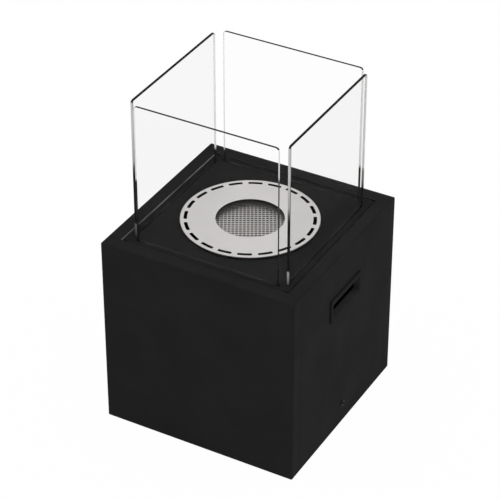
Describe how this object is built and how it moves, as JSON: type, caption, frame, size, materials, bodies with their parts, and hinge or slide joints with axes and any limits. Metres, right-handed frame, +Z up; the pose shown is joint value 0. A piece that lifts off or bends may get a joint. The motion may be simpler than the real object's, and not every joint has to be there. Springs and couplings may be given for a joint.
{
  "type": "bioethanol fireplace",
  "caption": "Free-standing bioethanol fireplace: a black sheet-steel box with loose glass panes standing round a lift-out round burner under a slotted steel cover ring.",
  "frame": {"origin": "middle of the footprint at floor level, on the underside of the rubber feet", "axes": "+Z up, -Y towards the plain front face, +X towards the right side with its hand hole"},
  "size_m": [0.3564, 0.35, 0.5988],
  "materials": {
    "black_paint": "satin black powder coat",
    "inner_paint": "matt black coat",
    "black_bolt": "black oxide, satin",
    "trim_plastic": "fine moulded grain, matt",
    "foot_rubber": "matt",
    "zinc": "bright zinc plate",
    "stainless": "satin stainless steel",
    "clear_glass": "clear tempered glass, ground edges",
    "silicone": "translucent grey, satin",
    "ceramic_fibre": "matted fibre, matt"
  },
  "bodies": {
    "cabinet": {"front_panel": "black_paint", "rear_panel": "black_paint", "left_side_panel": "black_paint", "right_side_panel": "black_paint", "top_plate": "black_paint", "base_plate": "inner_paint", "strap_front_left": "inner_paint", "strap_front_right": "inner_paint", "strap_rear_left": "inner_paint", "strap_rear_right": "inner_paint", "burner_well": "inner_paint", "well_pan": "inner_paint", "foot_front_left": "foot_rubber", "foot_front_right": "foot_rubber", "foot_rear_left": "foot_rubber", "foot_rear_right": "foot_rubber", "foot_screws": "zinc", "base_screws": "zinc", "weld_nuts": "zinc", "top_plate_nuts": "zinc", "front_glass_channel": "zinc", "rear_glass_channel": "zinc", "left_glass_channel": "zinc", "right_glass_channel": "zinc", "left_side_bolt": "black_bolt", "right_side_bolt": "black_bolt", "left_hand_frame": "trim_plastic", "right_hand_frame": "trim_plastic", "front_glass_pads": "silicone", "rear_glass_pads": "silicone", "left_glass_pads": "silicone", "right_glass_pads": "silicone"},
    "front_pane": {"front_glass": "clear_glass"},
    "rear_pane": {"rear_glass": "clear_glass"},
    "left_pane": {"left_glass": "clear_glass"},
    "right_pane": {"right_glass": "clear_glass"},
    "burner": {"cover_ring": "stainless", "fuel_cup": "stainless", "cup_collar": "stainless", "gauze": "stainless", "fibre_packing": "ceramic_fibre"}
  },
  "joints": [
    {"name": "front_pane_lift", "type": "slide", "parent": "cabinet", "child": "front_pane", "axis": [0, 0, 1], "range_m": [0, 0.27]},
    {"name": "rear_pane_lift", "type": "slide", "parent": "cabinet", "child": "rear_pane", "axis": [0, 0, 1], "range_m": [0, 0.27]},
    {"name": "left_pane_lift", "type": "slide", "parent": "cabinet", "child": "left_pane", "axis": [0, 0, 1], "range_m": [0, 0.27]},
    {"name": "right_pane_lift", "type": "slide", "parent": "cabinet", "child": "right_pane", "axis": [0, 0, 1], "range_m": [0, 0.27]},
    {"name": "burner_lift", "type": "slide", "parent": "cabinet", "child": "burner", "axis": [0, 0, 1], "range_m": [0, 0.33]}
  ]
}
